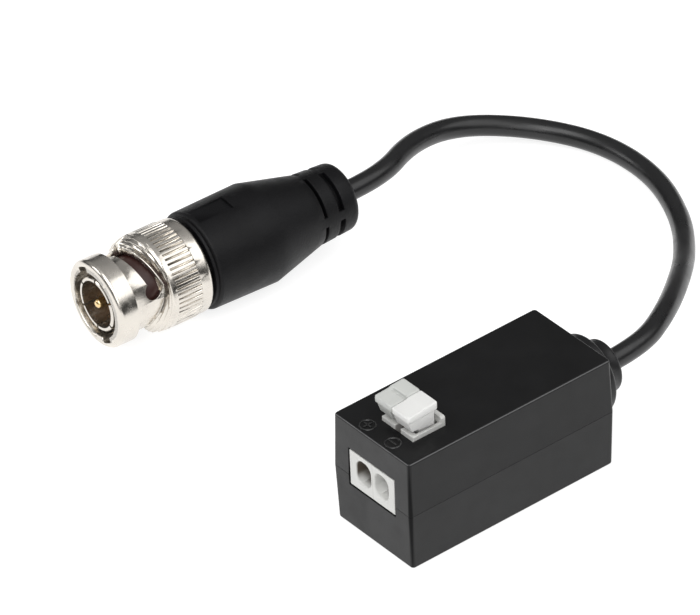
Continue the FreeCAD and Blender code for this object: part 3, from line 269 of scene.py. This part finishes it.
# The left wire hole is in deep shade.
paint(terminal_white, (0.09, 0.078, 0.062), ("Y", -20.0, -18.4), ("X", 0.1, -0.3),
      ("Z", 12.9, 12.2))
# Painted shade: its far wall is darkened to a shaded brown, from its middle up.
paint(terminal_white, (0.075, 0.06, 0.045), ("Y", -20.36, -20.1), ("X", -1.9, -2.9),
      ("X", -3.6, -3.4), ("Z", 8.6, 10.2), ("Z", 12.9, 12.7))
# Painted shade: the deep notch in the tower's front is darkened to a shaded brown.
paint(terminal_white, (0.07, 0.048, 0.04), ("X", 0.3, 0.5), ("X", 1.6, 1.5), ("Y", -14.9, -15.15),
      ("Z", 17.99, 17.94), ("Z", 14.5, 15.0))
# A fine joint runs down the face between the two holes.
paint(terminal_white, (0.5, 0.5, 0.47), ("X", 0.0, 0.06), ("X", 0.2, 0.14), ("Y", -20.2, -20.3))

# The upper shell's front and right edges catch the light.
EDGE_HEIGHT = ("Z", 17.24, 17.32)
paint(housing_black, (0.09, 0.09, 0.092), ("Y", -20.1, -20.18), EDGE_HEIGHT)
paint(housing_black, (0.09, 0.09, 0.092), ("X", 7.74, 7.82), EDGE_HEIGHT)
# The shells' faces differ a little in gloss: top, upper and lower right side, lower front. The
# upright corner between them is dull.
RIGHT_SIDE = ("X", 7.6, 7.85)
ABOVE_PARTING, BELOW_PARTING = ("Z", 8.88, 8.92), ("Z", 8.92, 8.88)
dull(housing_black, 0.23, ("Z", 17.3, 17.42))
dull(housing_black, 0.26, RIGHT_SIDE, ABOVE_PARTING, ("Z", 17.42, 17.3))
dull(housing_black, 0.285, RIGHT_SIDE, BELOW_PARTING)
dull(housing_black, 0.28, ("Y", -20.0, -20.3), BELOW_PARTING)
dull(housing_black, 0.08, ("X", 7.55, 7.85), ("Y", -19.95, -20.2), ("Z", 17.3, 17.2))

FINISHES = {
    housing_black: ("upper_shell", "lower_shell"),
    terminal_white: ("terminal_body",),
    lever_grey: ("lever_left",),
    lever_white: ("lever_right",),
    steel: ("clamp_spring_left", "clamp_spring_right", "wave_washer", "thrust_washer",
            "retaining_ring"),
    tin: ("contact_bar_left", "contact_bar_right", "shield_wire"),
    board_green: ("circuit_board",),
    ferrite_grey: ("toroid_core",),
    copper: ("winding_primary", "winding_secondary", "signal_wire"),
    chip_dark: ("chip_resistors", "chip_capacitors", "surge_diode"),
    relief_black: ("cable_relief",),
    jacket_black: ("cable_tail_box", "cable_tail_plug"),
    boot_black: ("plug_boot",),
    nickel: ("crimp_ferrule", "plug_body", "outer_contact", "coupling_nut"),
    insulator_brown: ("insulator",),
    gold: ("center_pin",),
    gasket_red: ("gasket",),
}
for material, names in FINISHES.items():
    for name in names:
        slots = NODES[name].data.materials
        slots.clear()
        slots.append(material)


# Pieces whose edges are eased: a merged copy of the node with its keen edges rounded

def beside_plug(point):
    """Distance from the plug's axis."""
    offset = point - PLUG_START
    return (offset - PLUG_AXIS * offset.dot(PLUG_AXIS)).length


def on_housing_skin(point):
    """Whether a point belongs to the shells' outside."""
    return (abs(point.x) > 7.75 * MM or point.y < FRONT + 0.3 * MM or point.y > 14.8 * MM
            or point.z > HOUSING_HEIGHT - 0.05 * MM or point.z < 0.05 * MM)


def on_pad(point):
    """Whether a point belongs to a lever's pad, above its stem."""
    return point.z > HOUSING_HEIGHT + 3 * MM


def new_piece(name, shape, body, material, smooth=SMOOTH_ANGLE):
    """Makes a finished piece of a shape and says which body it rides on."""
    mesh = bpy.data.meshes.new(name)
    for face in shape.faces:
        face.smooth = True
    shape.to_mesh(mesh)
    shape.free()
    mesh.set_sharp_from_angle(angle=math.radians(smooth))
    mesh.materials.append(material)
    piece = bpy.data.objects.new(name, mesh)
    bpy.context.scene.collection.objects.link(piece)
    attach(piece, body)
    return piece


def ease_edges(node, ease, body, shown=None, keen=35, even=True):
    """Rounds a node's edges keener than keen degrees, where shown() holds for their middle."""
    source = NODES[node]
    shape = bmesh.new()
    shape.from_mesh(source.data)
    bmesh.ops.transform(shape, matrix=source.matrix_world, verts=shape.verts)
    bmesh.ops.remove_doubles(shape, verts=shape.verts, dist=2e-6)
    bmesh.ops.recalc_face_normals(shape, faces=shape.faces)
    sharp = [edge for edge in shape.edges
             if edge.is_manifold and edge.is_convex
             and edge.calc_face_angle() > math.radians(keen)
             and (shown is None or shown((edge.verts[0].co + edge.verts[1].co) / 2))]
    bmesh.ops.bevel(shape, geom=sharp, offset=ease * MM, offset_type="OFFSET", segments=2,
                    profile=0.5, affect="EDGES", material=-1, clamp_overlap=False)
    piece = new_piece(f"{node}_eased", shape, body, source.data.materials[0],
                      smooth=EASED_ANGLE if even else SMOOTH_ANGLE)
    if even:
        piece.modifiers.new("even_shading", "WEIGHTED_NORMAL").keep_sharp = True
    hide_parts(node)
    return piece


ease_edges("upper_shell", 0.06, "balun", on_housing_skin)
ease_edges("lower_shell", 0.06, "balun", on_housing_skin)
ease_edges("terminal_body", 0.1, "balun")
ease_edges("lever_left", 0.22, "left_lever", on_pad)
ease_edges("lever_right", 0.22, "right_lever", on_pad)
ease_edges("cable_relief", 0.1, "balun")
eased_boot = ease_edges("plug_boot", 0.1, "balun", keen=40, even=False)
eased_nut = ease_edges("coupling_nut", 0.05, "nut",
                       lambda point: beside_plug(point) > 5.5 * MM, keen=40)


# The wide skirt under each lever's pad, which lands on the tower when the lever is pressed

SKIRT_START = 4.0
SKIRT_LENGTH = 3.8
SKIRT_BOTTOM = 1.39
SKIRT_HEIGHT = 1.8
SKIRT_LEAN = 0.55
SKIRT_DROP = 0.6
SKIRT_ROUNDING = 0.28


def hang_skirt(side, width, finish):
    shape = bmesh.new()
    block = bmesh.ops.create_cube(shape, size=1)["verts"]
    bmesh.ops.scale(shape, verts=block, vec=Vector((width, SKIRT_LENGTH, SKIRT_HEIGHT)) * MM)
    middle = Vector((LEVER_PLACES[side] * MM, FRONT + (SKIRT_START + SKIRT_LENGTH / 2) * MM,
                     HOUSING_HEIGHT + (SKIRT_BOTTOM + SKIRT_HEIGHT / 2) * MM))
    bmesh.ops.translate(shape, verts=block, vec=middle)
    # The front leans out to the pad's edge, and the bottom drops to the rear.
    leaning = [vert for vert in block if vert.co.y < middle.y and vert.co.z > middle.z]
    dropping = [vert for vert in block if vert.co.y > middle.y and vert.co.z < middle.z]
    # The four top edges are hidden in the pad.
    rounded = [edge for edge in shape.edges
               if all(vert.co.z < middle.z for vert in edge.verts)]
    bmesh.ops.translate(shape, verts=leaning, vec=Vector((0, -SKIRT_LEAN, 0)) * MM)
    bmesh.ops.translate(shape, verts=dropping, vec=Vector((0, 0, -SKIRT_DROP)) * MM)
    bmesh.ops.bevel(shape, geom=rounded, offset=SKIRT_ROUNDING * MM, offset_type="OFFSET",
                    segments=3, profile=0.5, affect="EDGES", material=-1)
    bmesh.ops.recalc_face_normals(shape, faces=shape.faces)
    new_piece(f"{side}_lever_skirt", shape, f"{side}_lever", finish)


hang_skirt("left", 2.7, lever_grey)
hang_skirt("right", 3.2, lever_white)


# Polarity signs moulded on the upper shell: plus at the left, minus at the right

SIGNS = {-2.65: (0, 90), 2.67: (0,)}
SIGN_SETBACK = 1.85
RING_RADIUS = 1.1
RING_THICKNESS = 0.14
BAR_SIZE = (1.5, 0.28, 0.28)
BAR_ROUNDING = 0.06


def mould_signs():
    shape = bmesh.new()
    for across, bars in SIGNS.items():
        centre = Vector((across * MM, FRONT + SIGN_SETBACK * MM, HOUSING_HEIGHT))
        section = bmesh.ops.create_circle(shape, segments=10, radius=RING_THICKNESS * MM)["verts"]
        bmesh.ops.rotate(shape, verts=section, matrix=Matrix.Rotation(math.pi / 2, 3, "X"))
        bmesh.ops.translate(shape, verts=section, vec=centre + Vector((RING_RADIUS * MM, 0, 0)))
        rim = list({edge for vert in section for edge in vert.link_edges})
        bmesh.ops.spin(shape, geom=section + rim, cent=centre, axis=(0, 0, 1),
                       angle=2 * math.pi, steps=40, use_merge=True)
        for turn in bars:
            bar = bmesh.ops.create_cube(shape, size=1)["verts"]
            bmesh.ops.scale(shape, verts=bar, vec=Vector(BAR_SIZE) * MM)
            bmesh.ops.rotate(shape, verts=bar, matrix=Matrix.Rotation(math.radians(turn), 3, "Z"))
            bmesh.ops.translate(shape, verts=bar, vec=centre)
            edges = list({edge for vert in bar for edge in vert.link_edges})
            bmesh.ops.bevel(shape, geom=edges, offset=BAR_ROUNDING * MM, offset_type="OFFSET",
                            segments=2, profile=0.5, affect="EDGES", material=-1)
    bmesh.ops.recalc_face_normals(shape, faces=shape.faces)
    new_piece("polarity_signs", shape, "balun", sign_black)


mould_signs()


# The pigtail's cable, on the route that its solid takes

CABLE_POINTS = [
    CABLE_OUTLET, (0.0, 27.0, 9.6), (-4.1, 34.7, 8.9), (-10.6, 42.8, 6.7),
    (-17.9, 50.4, 3.9), (-27.0, 57.4, 2.0), (-37.6, 61.7, 1.6), (-48.6, 61.4, 1.6),
    (-58.0, 55.9, 2.1), (-63.4, 46.6, 4.0), (-61.9, 36.8, 6.3), (-56.8, 27.4, 7.5),
]


def lay_cable():
    curve = bpy.data.curves.new("pigtail_cable", "CURVE")
    curve.dimensions = "3D"
    curve.bevel_depth = CABLE_RADIUS
    curve.bevel_resolution = 8
    curve.resolution_u = 24
    curve.use_fill_caps = True
    spline = curve.splines.new("NURBS")
    route = [Vector(point) * MM for point in CABLE_POINTS] + [PLUG_START + PLUG_AXIS * BOOT_END]
    spline.points.add(len(route) - 1)
    for knot, place in zip(spline.points, route):
        knot.co = (*place, 1)
    spline.order_u = 3
    spline.use_endpoint_u = True
    curve.materials.append(jacket_black)
    cable = bpy.data.objects.new("pigtail_cable", curve)
    bpy.context.scene.collection.objects.link(cable)
    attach(cable, "balun")
    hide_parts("cable")


lay_cable()


# Studio: pale floor, soft lights and a grey room

FLOOR_DROP = 0.0001
LIGHT_TARGET = Vector((-0.02, 0.01, 0.01))
LIGHTS = {
    "back_softbox": ((0.52, 0.44, 0.73), 0.8, 0.95, 0.62, 1.5),
    "front_softbox": ((-0.6, -0.62, 0.48), 0.9, 0.3, 0.3, 3.5),
    "fill_softbox": ((0.64, -0.49, 0.59), 0.8, 0.6, 0.6, 1.8),
    "top_softbox": ((0.1, -0.45, 0.88), 0.7, 0.5, 0.5, 3.0),
}
# Height on the room's wall, from 0 at the horizon, and its tone
ROOM_TONES = [(0.0, 0.02), (0.16, 0.02), (0.26, 0.16), (0.5, 0.3), (0.7, 0.3), (0.95, 0.5)]


def lay_floor():
    mesh = bpy.data.meshes.new("floor")
    shape = bmesh.new()
    bmesh.ops.create_grid(shape, x_segments=1, y_segments=1, size=3)
    bmesh.ops.translate(shape, verts=shape.verts, vec=(0, 0, -FLOOR_DROP))
    shape.to_mesh(mesh)
    shape.free()
    floor = bpy.data.objects.new("floor", mesh)
    bpy.context.scene.collection.objects.link(floor)
    pale = bpy.data.materials.new("pale_floor")
    pale.use_nodes = True
    shader = pale.node_tree.nodes["Principled BSDF"]
    shader.inputs["Base Color"].default_value = (0.4, 0.4, 0.4, 1)
    shader.inputs["Roughness"].default_value = 0.9
    shader.inputs["Specular IOR Level"].default_value = 0.0
    shader.inputs["Emission Color"].default_value = (1, 1, 1, 1)
    shader.inputs["Emission Strength"].default_value = 0.8
    mesh.materials.append(pale)


def hang_light(name, direction, distance, width, height, radiance):
    """A soft box that faces the model; its radiance is what a mirror would show."""
    data = bpy.data.lights.new(name, "AREA")
    data.shape = "RECTANGLE"
    data.size = width
    data.size_y = height
    data.energy = radiance * math.pi * width * height
    light = bpy.data.objects.new(name, data)
    aim = -Vector(direction).normalized()
    light.matrix_world = (Matrix.Translation(LIGHT_TARGET - aim * distance)
                          @ aim.to_track_quat("-Z", "Y").to_matrix().to_4x4())
    bpy.context.scene.collection.objects.link(light)


def paint_room():
    """A grey room, paler overhead, with a dark band just over the horizon."""
    world = bpy.data.worlds.new("grey_room")
    bpy.context.scene.world = world
    world.use_nodes = True
    nodes, links = world.node_tree.nodes, world.node_tree.links
    place = nodes.new("ShaderNodeTexCoord")
    split = nodes.new("ShaderNodeSeparateXYZ")
    links.new(place.outputs["Generated"], split.inputs["Vector"])
    ramp = nodes.new("ShaderNodeValToRGB")
    stops = ramp.color_ramp.elements
    while len(stops) < len(ROOM_TONES):
        stops.new(0.5)
    for stop, (height, tone) in zip(stops, ROOM_TONES):
        stop.position = height
        stop.color = (tone, tone, tone, 1)
    links.new(split.outputs["Z"], ramp.inputs["Fac"])
    links.new(ramp.outputs["Color"], nodes["Background"].inputs["Color"])


lay_floor()
for name, facts in LIGHTS.items():
    hang_light(name, *facts)
paint_room()
bpy.context.scene.view_settings.view_transform = "Standard"
